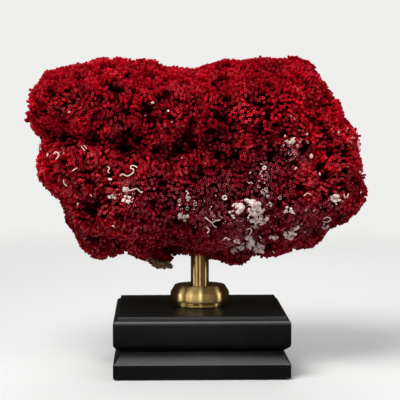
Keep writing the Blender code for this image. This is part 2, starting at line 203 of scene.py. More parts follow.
# Worm tubes on the front: radius, then the x, z points of the route.
FRONT_WORMS = (
    (0.55, (-50, 129.5), (-48, 130.5), (-46, 129.6), (-43.7, 130), (-41.8, 131.6), (-42, 133.4), (-43.6, 134),
     (-43, 135.4), (-41, 135.1), (-39.6, 134)),
    (0.6, (-45, 121), (-42.4, 121.6), (-40, 122.4), (-38, 120.4), (-36.4, 120.6)),
    (0.55, (26.3, 96.6), (27.4, 97.7), (29, 97.4), (29.5, 95.8), (28.8, 94), (28, 92.6)),
    (0.4, (1, 105.6), (3, 104), (5, 102.4), (6, 100.6), (8, 99)),
    (0.4, (5, 102.4), (7.6, 103.6), (10, 104)),
    (0.55, (2, 99.4), (3, 98.6), (3.2, 97), (2.2, 95.8)),
    (0.4, (36, 132.8), (34.8, 131.6), (34.2, 130.2)),
    (0.35, (34.6, 137), (35.8, 136.2)),
    (0.4, (-10.6, 121.4), (-9, 119.8), (-10.2, 118.2), (-8.6, 116.6), (-9.6, 115)),
    (0.35, (27, 126), (28, 125.2), (29, 125.8), (30.2, 125)),
    (0.8, (-100.5, 144), (-99.5, 146.6), (-97.4, 148), (-95, 150.6)),
    (0.55, (-90.4, 141.8), (-89, 143), (-87.5, 142.4), (-87.2, 140.4), (-88.6, 139.2)),
    (0.5, (-73.6, 146.8), (-71.4, 144.2)),
    (0.45, (-72.2, 147.4), (-70.2, 145.4)),
    (0.55, (-78.6, 132.8), (-75.4, 134.6)),
    (0.55, (-84, 127.8), (-83.6, 125.2), (-82, 123.8)),
    (0.45, (-58.6, 135.2), (-56.8, 134.2), (-58, 132.4), (-56.4, 131)),
    (1.2, (97.0, 149.6), (97.4, 147), (97.8, 144.6), (98.4, 142.4)),
    (0.55, (96.4, 154.6), (97.8, 155.2), (99.4, 156.2)),
    (0.6, (77.6, 116.8), (79.8, 115.2)),
    (0.6, (88.4, 115.2), (89.6, 117.8)),
    (0.5, (86.6, 117.4), (87.2, 115)),
    (0.6, (53.4, 108.6), (55.6, 106)),
    (0.6, (55, 95.2), (57, 97.6), (58.6, 99.4)),
    (0.5, (35, 92.6), (37, 90.4)),
    (0.45, (74, 103), (76.6, 104), (79, 102.8), (77.6, 101.2), (74, 101.2)),
    (0.8, (20, 113.6), (18, 113), (17, 111.8)),
    (0.4, (60, 118), (62.4, 119.6), (64.6, 118.4)),
    (0.4, (12, 91), (14, 92.4), (15.4, 91)),
    (0.4, (44, 82), (45.4, 80.4)),
)
# Coiled worm tubes and limed pipe mouths on the front: x, z, ring radius, tube radius.
FRONT_RINGS = (
    (37.2, 134.2, 1.1, 0.42), (12.4, 117.2, 1.15, 0.55), (-14, 115.2, 0.9, 0.16), (-9.6, 110.8, 0.9, 0.13),
    (-5, 113, 0.9, 0.13), (46, 117, 0.9, 0.13), (24, 83.4, 0.9, 0.16),
)
# Shell chips on the front: x, z, size.
FRONT_CHIPS = (
    (62, 153, 1.1), (64.6, 148.6, 1.5), (66, 142, 1.5), (-96.4, 141.4, 1.8), (-57.6, 128, 1.3),
    (-76, 110, 1.0), (28, 131, 1.0), (74.6, 128.8, 1.1), (63.2, 108.6, 1.2), (68, 110.6, 1.2),
    (63, 94, 1.0), (48, 92.6, 1.0), (-82, 167, 0.9), (-29.6, 174.4, 1.0), (-22, 170, 0.8),
    (101.4, 129.6, 1.3), (77, 84, 1.0), (102, 117, 1.2), (17.6, 90, 1.3), (-15, 114, 0.8),
    (55, 135, 0.9), (84, 154, 0.9), (92, 158, 1.0), (49.6, 153.4, 0.8), (48.6, 150.4, 0.8),
    (60, 150, 1.0), (58.6, 146.6, 0.9), (95, 152, 0.8), (-54, 96, 1.0), (-68, 118, 0.9),
)
# Crumbs sprinkled on the front: x, z, half width, half height, how many.
FRONT_CRUMBS = (
    (36, 124, 2.6, 7, 34), (54, 143, 6, 3.5, 30), (30, 104, 12, 11, 60), (26, 87, 12, 7, 44),
    (55, 96, 9, 7, 26), (57, 150, 8, 6, 18), (-46, 119, 8, 5, 16), (4, 102, 12, 9, 24),
    (-10, 112, 8, 9, 16), (80, 112, 8, 6, 12), (-88, 144, 10, 6, 12), (93, 150, 6, 8, 14),
)
CRUMB_SIZES = (0.22, 0.5)
LOOSE_CHIPS = 70  # more of them, small, anywhere on the colony
LOOSE_CHIP_SIZES = (0.25, 0.6)
CHIP_TILT = 0.4  # radians
LOOSE_WORMS = 26
LOOSE_WORM_RADII = (0.28, 0.5)
LOOSE_WORM_STEP = 2.2
LOOSE_WORM_TURN = 0.9  # radians, at each step
LOOSE_CRUSTS = 9
LOOSE_CRUST_HALF_SIZES = (1.2, 3.2)
LOOSE_LUMP_RADII = (0.5, 1.0)
CRUST_VOXEL = 0.34

# The camera stands in front, a little above the middle and a little to the left.
CAMERA_PLACE = (-28.4, -1021.8, 182.0)
CAMERA_DOWN = 4.05  # degrees
CAMERA_RIGHT = 1.6  # degrees
FOCAL_LENGTH = 140.1  # on a 36 mm sensor

# The stand's smooth shading.
WELD_DISTANCE = 0.01
EDGE_ANGLE = 28  # degrees

# A middle for each of the pieces that the pipes are split into: each pipe goes to the nearest.
PIPE_REGIONS = {
    "pipes_front_left": (-70, -50, 125),
    "pipes_front_middle": (-10, -55, 125),
    "pipes_front_right": (65, -45, 120),
    "pipes_back_left": (-70, 45, 125),
    "pipes_back_middle": (0, 55, 125),
    "pipes_back_right": (65, 45, 120),
    "pipes_crown_left": (-60, 0, 200),
    "pipes_crown_right": (30, 0, 200),
}


# ---- node helpers


def feed(tree, socket, value):
    """Links a socket, or sets it to a number or colour."""
    if isinstance(value, bpy.types.NodeSocket):
        tree.links.new(value, socket)
    else:
        socket.default_value = value


def add_node(tree, kind, inputs=(), **settings):
    """A new node with these settings and with its inputs, by name or number, fed."""
    node = tree.nodes.new(kind)
    for key, value in settings.items():
        setattr(node, key, value)
    for key, value in dict(inputs).items():
        feed(tree, node.inputs[key], value)
    return node


def new_material(name):
    """A node material and its tree."""
    material = bpy.data.materials.new(name)
    material.use_nodes = True
    return material, material.node_tree


def set_shader(tree, inputs):
    """Feeds the inputs of a material's Principled shader."""
    for name, value in inputs.items():
        feed(tree, tree.nodes["Principled BSDF"].inputs[name], value)


def attribute(tree, name):
    return add_node(tree, "ShaderNodeAttribute", attribute_name=name).outputs["Fac"]


def maths(tree, operation, first, second, clamp=False):
    inputs = {0: first, 1: second}
    return add_node(tree, "ShaderNodeMath", inputs, operation=operation, use_clamp=clamp).outputs[0]


def times(tree, first, second, clamp=False):
    return maths(tree, "MULTIPLY", first, second, clamp)


def between(tree, value, low, high, to_low=0.0, to_high=1.0):
    """A value's place between low and high, as a smooth step."""
    inputs = {"Value": value, "From Min": low, "From Max": high, "To Min": to_low, "To Max": to_high}
    return add_node(tree, "ShaderNodeMapRange", inputs, interpolation_type="SMOOTHSTEP").outputs["Result"]


def mixed(tree, share, first, second, blend="MIX"):
    """Two colours mixed by a share."""
    inputs = {0: share, 6: first, 7: second}
    return add_node(tree, "ShaderNodeMix", inputs, data_type="RGBA", blend_type=blend).outputs[2]


def tinted(tree, colour, factor):
    """A colour times a factor."""
    return mixed(tree, 1.0, colour, factor, "MULTIPLY")


def position(tree):
    return add_node(tree, "ShaderNodeNewGeometry").outputs["Position"]


def part_of(tree, vector, axis):
    return add_node(tree, "ShaderNodeSeparateXYZ", {0: vector}).outputs[axis]


def scaled(tree, vector, factors):
    return add_node(tree, "ShaderNodeVectorMath", {0: vector, 1: factors}, operation="MULTIPLY").outputs[0]


def distance_to(tree, place):
    """How far it is, in metres, to a place given in millimetres."""
    inputs = {0: position(tree), 1: Vector(place) * MM}
    return add_node(tree, "ShaderNodeVectorMath", inputs, operation="DISTANCE").outputs["Value"]


def grain(tree, size, detail=3.0, vector=None):
    """Fractal noise with features of about that size in millimetres."""
    inputs = {
        "Vector": vector or position(tree),
        "Scale": 1 / (size * MM),
        "Detail": detail,
        "Roughness": 0.55,
    }
    return add_node(tree, "ShaderNodeTexNoise", inputs).outputs["Fac"]


def blotches(tree, size, detail, *limits):
    """Noise with features of that size, with its contrast raised by between()."""
    return between(tree, grain(tree, size, detail), *limits)


def bump(tree, height, depth):
    """A bump whose full height is depth in millimetres."""
    return add_node(tree, "ShaderNodeBump", {"Height": height, "Distance": depth * MM}).outputs["Normal"]


# ---- materials

# Painted shade deepens the pipes towards the root and in the bore; a painted highlight brightens the rims.
PIPE_ROOT_PAINTED_SHADE = (0.05, 0.0003, 0.001, 1)
PIPE_RED = (0.54, 0.0010, 0.006, 1)
PIPE_OLD = (0.16, 0.004, 0.014, 1)
PIPE_RIM_PAINTED_HIGHLIGHT = (0.92, 0.012, 0.045, 1)
PIPE_DUST = (0.58, 0.34, 0.33, 1)
PIPE_PALE_RIM = (0.80, 0.30, 0.34, 1)
PIPE_BORE_PAINTED_SHADE = (0.02, 0.0004, 0.0008, 1)
HANGING_DIRT = (0.13, 0.075, 0.035, 1)
HANGING_DIRT_PLACE = (-24, -45, 68)
HANGING_DIRT_REACH = (12, 24)  # it is thickest up to the first distance and ends at the second
# Painted shade: the inner mass between the pipes is a nearly black red.
MASS_PAINTED_SHADE_COLOURS = ((0.012, 0.0004, 0.0006, 1), (0.06, 0.0006, 0.0012, 1))
# The kinds of lime: a lighter and a darker colour, mixed in random blotches, and the size of the pores.
LIMES = {
    "white_lime": ((0.92, 0.74, 0.68, 1), (0.52, 0.36, 0.31, 1), 0.9),
    "grey_lime": ((0.54, 0.42, 0.39, 1), (0.25, 0.16, 0.14, 1), 0.6),
    "brown_dirt": ((0.24, 0.15, 0.075, 1), (0.07, 0.035, 0.015, 1), 0.7),
    "worm_lime": ((0.94, 0.68, 0.60, 1), (0.62, 0.38, 0.31, 1), 0.5),
}
# Painted shade: the pores are dark spots standing in for small holes.
LIME_PORE_PAINTED_SHADE = (0.12, 0.02, 0.02, 1)
BRASS_COLOURS = ((0.62, 0.44, 0.17, 1), (0.70, 0.51, 0.21, 1))
BRASS_TARNISH = (0.38, 0.24, 0.09, 1)
LACQUER_COLOURS = ((0.0018, 0.0018, 0.0019, 1), (0.0032, 0.0031, 0.003, 1))
# A painted highlight: the grey that the upper block's shoulder edges are brightened to.
LACQUER_PAINTED_HIGHLIGHT = (0.034, 0.034, 0.035, 1)
LACQUER_DUST = (0.2, 0.19, 0.18, 1)
PAINTED_HIGHLIGHT_HEIGHTS = (34.4, 36.2)  # where the painted highlight on the block's edges begins and is in full
FELT_COLOURS = ((0.010, 0.022, 0.014, 1), (0.025, 0.05, 0.032, 1))
ZINC_COLOURS = ((0.42, 0.43, 0.45, 1), (0.58, 0.59, 0.60, 1))


def pipe_material():
    """Red lime pipes: painted shade deep at the root and dark in the bore, a painted highlight on the mouth,
    dust on some rims.
    """
    material, tree = new_material("red_pipes")
    along = attribute(tree, "along")
    # The shade attribute holds random tone together with painted light and shade.
    tone_and_painted_light = times(tree, blotches(tree, 5, 4, 0.3, 0.7, 0.72, 1.18), attribute(tree, "shade"))
    wall = mixed(tree, attribute(tree, "age"), PIPE_RED, PIPE_OLD)
    # Painted shade: the wall darkens towards the root.
    wall = tinted(tree, mixed(tree, between(tree, along, 0.42, 1.0), PIPE_ROOT_PAINTED_SHADE, wall), tone_and_painted_light)
    # Painted highlight: the rim is a brighter red.
    rim = tinted(tree, mixed(tree, attribute(tree, "pale"), PIPE_RIM_PAINTED_HIGHLIGHT, PIPE_PALE_RIM), tone_and_painted_light)
    colour = mixed(tree, between(tree, along, 0.94, 1.0, 0.0, 0.85), wall, rim)
    settled = times(tree, attribute(tree, "dust"), blotches(tree, 0.9, 2, 0.38, 0.62))
    settled = times(tree, settled, between(tree, along, 0.55, 1.0), clamp=True)
    colour = mixed(tree, settled, colour, PIPE_DUST)
    # Painted shade: the bore is dark.
    colour = mixed(tree, attribute(tree, "inside"), colour, PIPE_BORE_PAINTED_SHADE)
    near, far = HANGING_DIRT_REACH
    dirty = between(tree, distance_to(tree, HANGING_DIRT_PLACE), near * MM, far * MM, 0.85, 0.0)
    dirty = times(tree, dirty, blotches(tree, 4, 3, 0.35, 0.6), clamp=True)
    set_shader(tree, {
        "Base Color": mixed(tree, dirty, colour, HANGING_DIRT),
        "Roughness": blotches(tree, 2, 3, 0.3, 0.7, 0.42, 0.62),
        "Specular IOR Level": 0.0,
        "Normal": bump(tree, grain(tree, 0.5), 0.12),
    })
    return material


def mass_material():
    """What shows between the pipes: older pipes packed tight, painted very dark red as the shade between the
    pipes.
    """
    material, tree = new_material("packed_roots_painted_shade")
    set_shader(tree, {
        "Base Color": mixed(tree, blotches(tree, 7, 4, 0.35, 0.7), *MASS_PAINTED_SHADE_COLOURS),
        "Roughness": blotches(tree, 2, 3, 0.3, 0.7, 0.7, 0.95),
        "Specular IOR Level": 0.0,
        "Normal": bump(tree, grain(tree, 1.8, 4), 0.8),
    })
    return material


def lime_material(name):
    """Chalky lime, lighter and darker in blotches, with fine pores painted dark as the shade in small holes.
    """
    material, tree = new_material(name)
    light_tone, dark_tone, pore = LIMES[name]
    colour = mixed(tree, blotches(tree, 3.5, 4, 0.35, 0.65), dark_tone, light_tone)
    set_shader(tree, {
        "Base Color": mixed(tree, blotches(tree, pore, 2, 0.56, 0.66, 0.0, 0.85), colour, LIME_PORE_PAINTED_SHADE),
        "Roughness": blotches(tree, 1.5, 3, 0.3, 0.7, 0.55, 0.85),
        "Normal": bump(tree, grain(tree, 0.7, 4), 0.35),
    })
    return material


def brass_material():
    """Turned brass, lacquered: fine rings round the axis draw the light into upright streaks."""
    material, tree = new_material("turned_brass")
    bands = grain(tree, 9, 2, scaled(tree, position(tree), (0.05, 0.05, 1)))
    tarnish = blotches(tree, 9, 5, 0.42, 0.75, 0.0, 0.35)
    tangent = add_node(tree, "ShaderNodeTangent", direction_type="RADIAL", axis="Z")
    set_shader(tree, {
        "Base Color": mixed(tree, tarnish, mixed(tree, bands, *BRASS_COLOURS), BRASS_TARNISH),
        "Roughness": between(tree, bands, 0.3, 0.7, 0.31, 0.36),
        "Metallic": 1,
        "Anisotropic": 0.95,
        "Anisotropic Rotation": 0.25,
        "Tangent": tangent.outputs[0],
    })
    return material


def lacquer_material():
    """Satin black mouldings, with some dust on what faces up and a greyer highlight painted on the upper
    block's edges.
    """
    material, tree = new_material("black_lacquer")
    surface = add_node(tree, "ShaderNodeNewGeometry").outputs
    upward = part_of(tree, surface["Normal"], "Z")
    low, high = PAINTED_HIGHLIGHT_HEIGHTS
    # Painted highlight: the upper block's shoulder edges are made greyer, standing in for the light they
    # catch.
    painted_highlight = between(tree, part_of(tree, surface["Position"], "Z"), low * MM, high * MM)
    painted_highlight = times(tree, painted_highlight, between(tree, upward, 0.8, 0.97, 1.0, 0.0))
    colour = mixed(tree, blotches(tree, 14, 4, 0.35, 0.7), *LACQUER_COLOURS)
    colour = mixed(tree, painted_highlight, colour, LACQUER_PAINTED_HIGHLIGHT)
    dust = times(tree, between(tree, upward, 0.5, 1.0), blotches(tree, 0.8, 2, 0.66, 0.74, 0.0, 0.08))
    set_shader(tree, {
        "Base Color": mixed(tree, dust, colour, LACQUER_DUST),
        "Roughness": blotches(tree, 6, 4, 0.3, 0.7, 0.36, 0.42),
        "Specular IOR Level": 0.14,
        "Normal": bump(tree, grain(tree, 0.9), 0.012),
    })
    return material


def felt_material():
    """Dark green baize with short tangled fibres."""
    material, tree = new_material("felt")
    fibres = grain(tree, 0.3, 4, scaled(tree, position(tree), (1, 0.4, 1)))
    set_shader(tree, {
        "Base Color": mixed(tree, between(tree, fibres, 0.3, 0.7), *FELT_COLOURS),
        "Roughness": between(tree, fibres, 0.3, 0.7, 0.85, 1.0),
        "Sheen Weight": 0.3,
        "Normal": bump(tree, fibres, 0.25),
    })
    return material


def zinc_material():
    """Zinc-plated steel with a faint cloudy grain."""
    material, tree = new_material("zinc_steel")
    cloud = blotches(tree, 1.5, 4, 0.3, 0.7)
    set_shader(tree, {
        "Base Color": mixed(tree, cloud, *ZINC_COLOURS),
        "Roughness": between(tree, cloud, 0.0, 1.0, 0.28, 0.42),
        "Metallic": 1,
        "Normal": bump(tree, grain(tree, 0.4), 0.02),
    })
    return material


# ---- mesh helpers


def placed(name, data):
    """A new object in the scene."""
    thing = bpy.data.objects.new(name, data)
    bpy.context.scene.collection.objects.link(thing)
    return thing


def show(mesh, name, material):
    """Puts a mesh in the scene as a piece of the object that rides on its one body."""
    piece = placed(name, mesh)
    mesh.materials.clear()
    mesh.materials.append(material)
    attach(piece, "root")
    return piece


def mesh_of(bm, name):
    """A mesh made from a bmesh, which is used up."""
    mesh = bpy.data.meshes.new(name)
    bm.to_mesh(mesh)
    bm.free()
    return mesh


def applied(mesh, *modifiers):
    """The mesh after modifiers, each given as (type, settings)."""
    work = placed("work", mesh)
    for kind, settings in modifiers:
        modifier = work.modifiers.new(kind.lower(), kind)
        for key, value in settings.items():
            setattr(modifier, key, value)
    graph = bpy.context.evaluated_depsgraph_get()
    result = bpy.data.meshes.new_from_object(work.evaluated_get(graph))
    bpy.data.objects.remove(work)
    return result


def points_of(mesh):
    """The mesh's vertices and their normals as arrays, in millimetres and as unit vectors."""
    places, normals = np.empty((2, len(mesh.vertices) * 3), np.float32)
    mesh.vertices.foreach_get("co", places)
    mesh.vertex_normals.foreach_get("vector", normals)
    return places.reshape(-1, 3) / MM, normals.reshape(-1, 3)


def move_points(mesh, places):
    """Puts the mesh's vertices at places in millimetres."""
    mesh.vertices.foreach_set("co", (places * MM).astype(np.float32).ravel())
    mesh.update()


def shade_smooth(mesh):
    mesh.polygons.foreach_set("use_smooth", np.ones(len(mesh.polygons), bool))


def unit(vectors):
    return vectors / np.maximum(np.linalg.norm(vectors, axis=1, keepdims=True), 1e-9)


def tree_of(points):
    tree = KDTree(len(points))
    for index, point in enumerate(points):
        tree.insert(point, index)
    tree.balance()
    return tree


def neighbours(points, reach):
    """For each point, the indices of the points within reach, its own among them."""
    tree = tree_of(points)
    for point in points:
        yield [other for _, other, _ in tree.find_range(point, reach)]


def thinned(points, spacing):
    """Indices of points, taken in order, of which no two are closer than spacing."""
    tree = tree_of(points)
    dropped = np.zeros(len(points), bool)
    kept = []
    for index, point in enumerate(points):
        if dropped[index]:
            continue
        kept.append(index)
        for _, other, _ in tree.find_range(point, spacing):
            dropped[other] = True
    return np.array(kept)


def nearest(points, centres, count=1):
    """For each point, the indices of the nearest centres and how far they are."""
    tree = tree_of(centres)
    found = [tree.find_n(point, count) for point in points]
    indices = np.array([[hit[1] for hit in hits] for hits in found])
    distances = np.array([[hit[2] for hit in hits] for hits in found])
    return indices, distances


def lumpy(points, size):
    """Smooth noise from 0 to 1 at each point, with features of that size."""
    return np.array([noise.noise(Vector(point) / size) for point in points]) * 0.5 + 0.5


def clipped(values):
    return np.clip(values, 0, 1)


# ---- the colony


def envelope_mesh():
    """The colony's outer form from its CAD solid, with the socket closed and the facets smoothed away."""
    mesh = NODES["coral_colony"].data.copy()
    bm = bmesh.new()
    bm.from_mesh(mesh)
    bmesh.ops.remove_doubles(bm, verts=bm.verts, dist=WELD_DISTANCE * MM)
    wide, high = (SOCKET_RADIUS + 0.3) * MM, (SOCKET_TOP + 1) * MM
    socket = [face for face in bm.faces if all(v.co.xy.length < wide and v.co.z < high for v in face.verts)]
    bmesh.ops.delete(bm, geom=socket, context="FACES")
    bmesh.ops.holes_fill(bm, edges=[edge for edge in bm.edges if edge.is_boundary])
    bm.to_mesh(mesh)
    bm.free()
    remesh = {"mode": "VOXEL", "voxel_size": TIP_VOXEL * MM}
    return applied(mesh, ("REMESH", remesh), ("SMOOTH", {"factor": 0.6, "iterations": 6}))


def front_place(x, z):
    """Where an x and z of the tables lie on the colony."""
    return x * FRONT_WIDER + FRONT_SHIFT[0], z * FRONT_TALLER + FRONT_SHIFT[1]


def front_point(envelope, x, z, beside=None):
    """The point of the envelope seen from the front at a table's x, z, and its normal.

    If that is much further forward or back than the point beside, it is looked for at that point's depth
    instead, so that nothing is drawn out along an edge."""
    x, z = front_place(x, z)
    found = envelope.ray_cast(Vector((x, -300, z)) * MM, Vector((0, 1, 0)))
    if found[0] is None:
        found = envelope.find_nearest(Vector((x, -20, z)) * MM)
    if beside is not None and abs(found[0].y / MM - beside[1]) > DEPTH_JUMP:
        found = envelope.find_nearest(Vector((x, beside[1], z)) * MM)
    return np.array(found[0]) / MM, np.array(found[1])


def surface_samples(mesh, count, rng):
    """Evenly random points on a mesh and the smooth normals there."""
    places, normals = points_of(mesh)
    mesh.calc_loop_triangles()
    corners = np.empty(len(mesh.loop_triangles) * 3, np.int32)
    mesh.loop_triangles.foreach_get("vertices", corners)
    corners = corners.reshape(-1, 3)
    a, b, c = (places[corners[:, i]] for i in range(3))
    areas = np.linalg.norm(np.cross(b - a, c - a), axis=1)
    picked = corners[rng.choice(len(corners), count, p=areas / areas.sum())]
    u, v = rng.random(count), rng.random(count)
    over = u + v > 1
    u[over] = 1 - u[over]
    v[over] = 1 - v[over]
    shares = np.stack([1 - u - v, u, v], 1)[:, :, None]
    return (places[picked] * shares).sum(1), unit((normals[picked] * shares).sum(1))


def hollowness(points, normals, reach):
    """How far the neighbours within reach stand above each point, in millimetres: positive in a hollow."""
    around = enumerate(neighbours(points, reach))
    return np.array([((points[near] - points[index]) @ normals[index]).mean() for index, near in around])


def pit_places(envelope, points, rng):
    """Centres and radii of the dark holes: the listed ones on the front, the others spread over the rest."""
    centres = [front_point(envelope, x, z)[0] for x, z, _ in FRONT_PITS]
    radii = [radius for _, _, radius in FRONT_PITS]
    spread = points[rng.permutation(len(points))]
    hand_placed = tree_of(centres)
    for index in thinned(spread, SCATTERED_PIT_SPACING):
        if hand_placed.find(spread[index])[2] > SCATTERED_PIT_CLEARANCE:
            centres.append(spread[index])
            radii.append(rng.uniform(*SCATTERED_PIT_RADII))
    return np.array(centres), np.array(radii)


def patches(points, spots):
    """How strongly round patches (x, z, radius and maybe strength) cover points, seen from the front."""
    cover = np.zeros(len(points))
    for x, z, radius, *strength in spots:
        x, z = front_place(x, z)
        away = np.hypot(points[:, 0] - x, points[:, 2] - z) / radius
        cover = np.maximum(cover, np.exp(-away * away) * (strength[0] if strength else 1.0))
    return cover


def stand_pipes(mesh, envelope, rng):
    """Where the pipes stand: a dict of arrays with one row for each pipe, and the pits between them."""
    points, normals = surface_samples(mesh, PIPE_CANDIDATES, rng)
    kept = thinned(points, PIPE_SPACING)
    points, normals = points[kept], normals[kept]
    broad = unit(np.array([normals[near].mean(0) for near in neighbours(points, BROAD_REACH)]))
    pits, pit_radii = pit_places(envelope, points, rng)

    seeds = thinned(points, BUNDLE_SPACING)
    bundle, away = nearest(points, points[seeds], 2)
    border = (away[:, 1] - away[:, 0]) / 2
    bundle = bundle[:, 0]
    heights = rng.uniform(*BUNDLE_HEIGHTS, len(seeds))
    leans = rng.normal(0, BUNDLE_LEAN, (len(seeds), 3))
    shades = rng.uniform(*BUNDLE_SHADES, len(seeds))
    gaps = rng.uniform(0, 1, len(seeds)) * BUNDLE_GAP

    # A pipe points the way its bundle does, and a little the way the surface under it does.
    seed_point, seed_normal = points[seeds][bundle], broad[seeds][bundle]
    count = len(points)
    stray = np.where(rng.random(count) < STRAY_SHARE, STRAY_LEAN, PIPE_LEAN)
    of_bundle, of_slope, of_surface = AIM_SHARES
    aim = unit(of_bundle * seed_normal + of_slope * broad + of_surface * normals + leans[bundle])
    aim = unit(aim * (1, FACE_ON, 1) + rng.normal(0, 1, (count, 3)) * stray[:, None])

    # Its tip rises to its bundle's own flat top, and sinks if it is short or on a crack. The underside is
    # evener.
    rise = ((seed_point - points) * seed_normal).sum(1) * BUNDLE_FLATNESS
    rise += heights[bundle] + rng.normal(0, TIP_JITTER, count)
    short = rng.random(count) < SHORT_SHARE
    rise -= np.where(short, rng.uniform(*SHORT_BY, count), 0)
    crack = clipped(1 - np.abs(lumpy(points, CRACK_SIZE) * 2 - 1) / CRACK_WIDTH)
    crack *= clipped(lumpy(points + 90, CRACKED_AREAS) * 4 - 1.3)
    rise -= CRACK_DEPTH * crack
    rise *= 1 - LEVEL_TOP * clipped(broad[:, 2] * 1.5)
    rise = np.where(broad[:, 2] < UNDERSIDE, rise * UNDERSIDE_UNEVENNESS - UNDERSIDE_SINKS, rise)
    tips = points + broad * rise[:, None]

    pit, pit_away = nearest(points, pits)
    pit_edge = pit_away[:, 0] - pit_radii[pit[:, 0]] * np.interp(lumpy(points, 4), (0.25, 0.75), PIT_RAGGED)
    tips -= aim * np.clip(PIT_LIP - pit_edge, 0, PIT_LIP)[:, None]

    # Painted shade: short pipes and pipes on a crack stand lower and are made darker; for short ones it is
    # partly an older tone.
    sunken_painted_shade = np.where(short, SHORT_PAINTED_SHADE, 1.0) * (1 - CRACK_PAINTED_SHADE * crack)
    standing = (border > gaps[bundle]) & (pit_edge > 0) & ~near_rod(tips, aim)
    pipes = {
        "tip": tips,
        "aim": aim,
        "length": PIPE_LENGTH + rng.uniform(-LENGTH_SPREAD, LENGTH_SPREAD, count),
        "radius": PIPE_RADIUS * rng.uniform(*RADIUS_SHARES, count),
        "bore": PIPE_BORE * rng.uniform(*BORE_SHARES, count),
        "turn": rng.uniform(0, math.tau, count),
        "shade": shades[bundle] * rng.uniform(*PIPE_SHADES, count) * sunken_painted_shade,
        # Painted shadow: pipes near the edge of a pit are darker.
        "shadow": np.interp(pit_edge, (0, PIT_PAINTED_SHADE_REACH), (PIT_PAINTED_SHADE, 1)),
        "hollow": hollowness(points, broad, HOLLOW_REACH),
        "facing_up": clipped(broad[:, 2]),
        "proud": np.where(short, 0.25, 1.0) * rng.uniform(0.1, 1, count),
    }
    return {key: values[standing] for key, values in pipes.items()}, pits, pit_radii


def near_rod(tips, aim):
    """True for pipes that would run into the rod below the top of its socket."""
    clash = np.zeros(len(tips), bool)
    wide, high = ROD_KEEP_CLEAR + PIPE_RADIUS, SOCKET_TOP + 3
    for share in np.linspace(0, 1, 6):
        place = tips - aim * PIPE_LENGTH * share
        clash |= (np.hypot(place[:, 0], place[:, 1]) < wide) & (place[:, 2] < high)
    return clash


def colour_pipes(pipes):
    """Adds each pipe's age, its dust and how pale its rim is, from 0 to 1, and paints light and shade into
    how bright it is.
    """
    tips = pipes["tip"]
    front = tips[:, 1] < 5
    age = patches(tips, OLD_PIPES) * np.where(front, 1, 0.6)
    pipes["age"] = clipped(age * 0.75 + (lumpy(tips, 11) - 0.5) * 0.9)
    dust = np.where(front, patches(tips, FRONT_DUST), patches(tips, BACK_DUST))
    pipes["dust"] = clipped(dust * clipped(lumpy(tips, 3.5) * 3 - 1))
    # Rims are paler in patches and towards the foot of the colony.
    low = clipped((150 - tips[:, 2]) / 50)
    pale = 0.04 + 0.5 * np.clip(lumpy(tips + 30, 16) * 2 - 0.9, 0, 0.4) + 0.4 * low
    pipes["pale"] = clipped(pale * pipes["proud"])
    # Painted light and shade: brighter towards the crest, darker where the slope faces up, in hollows and
    # near pits.
    height = clipped((tips[:, 2] - 70) / 100)
    # Painted light and shade at the listed spots of the front.
    tone_and_painted_light = 1 + patches(tips, FRONT_PAINTED_LIGHT) - patches(tips, FRONT_PAINTED_SHADE)
    pipes["shade"] *= (FOOT_PAINTED_SHADE + PAINTED_LIGHT_BY_HEIGHT * height) * (1 - TOP_PAINTED_SHADE * pipes["facing_up"])
    pipes["shade"] *= (1 - HOLLOW_PAINTED_SHADE * clipped(pipes["hollow"] / 3)) * pipes["shadow"]
    pipes["shade"] *= np.where(front, tone_and_painted_light, 1)


def pipe_pattern():
    """One pipe's faces as vertex numbers, and a flat layout of its corners in a unit square for baking.

    The rings are the root, the outer lip, the inner lip and the end of the bore."""
    faces = []
    layout = []
    for low, (bottom, top) in enumerate(((0.0, 0.6), (0.62, 0.72), (0.72, 0.84))):
        below, above = low * PIPE_SIDES, (low + 1) * PIPE_SIDES
        for side in range(PIPE_SIDES):
            after = (side + 1) % PIPE_SIDES
            faces.append([below + side, below + after, above + after, above + side])
            left, right = side / PIPE_SIDES, (side + 1) / PIPE_SIDES
            layout.append([(left, bottom), (right, bottom), (right, top), (left, top)])
    angles = [math.tau * side / PIPE_SIDES for side in range(PIPE_SIDES)]
    cap = [(0.07 * math.cos(angle), 0.07 * math.sin(angle)) for angle in angles]
    faces.append([3 * PIPE_SIDES + side for side in range(PIPE_SIDES)])
    layout.append([(0.25 + u, 0.93 + v) for u, v in cap])
    faces.append(list(reversed(range(PIPE_SIDES))))
    layout.append([(0.75 + u, 0.93 + v) for u, v in reversed(cap)])
    return faces, layout


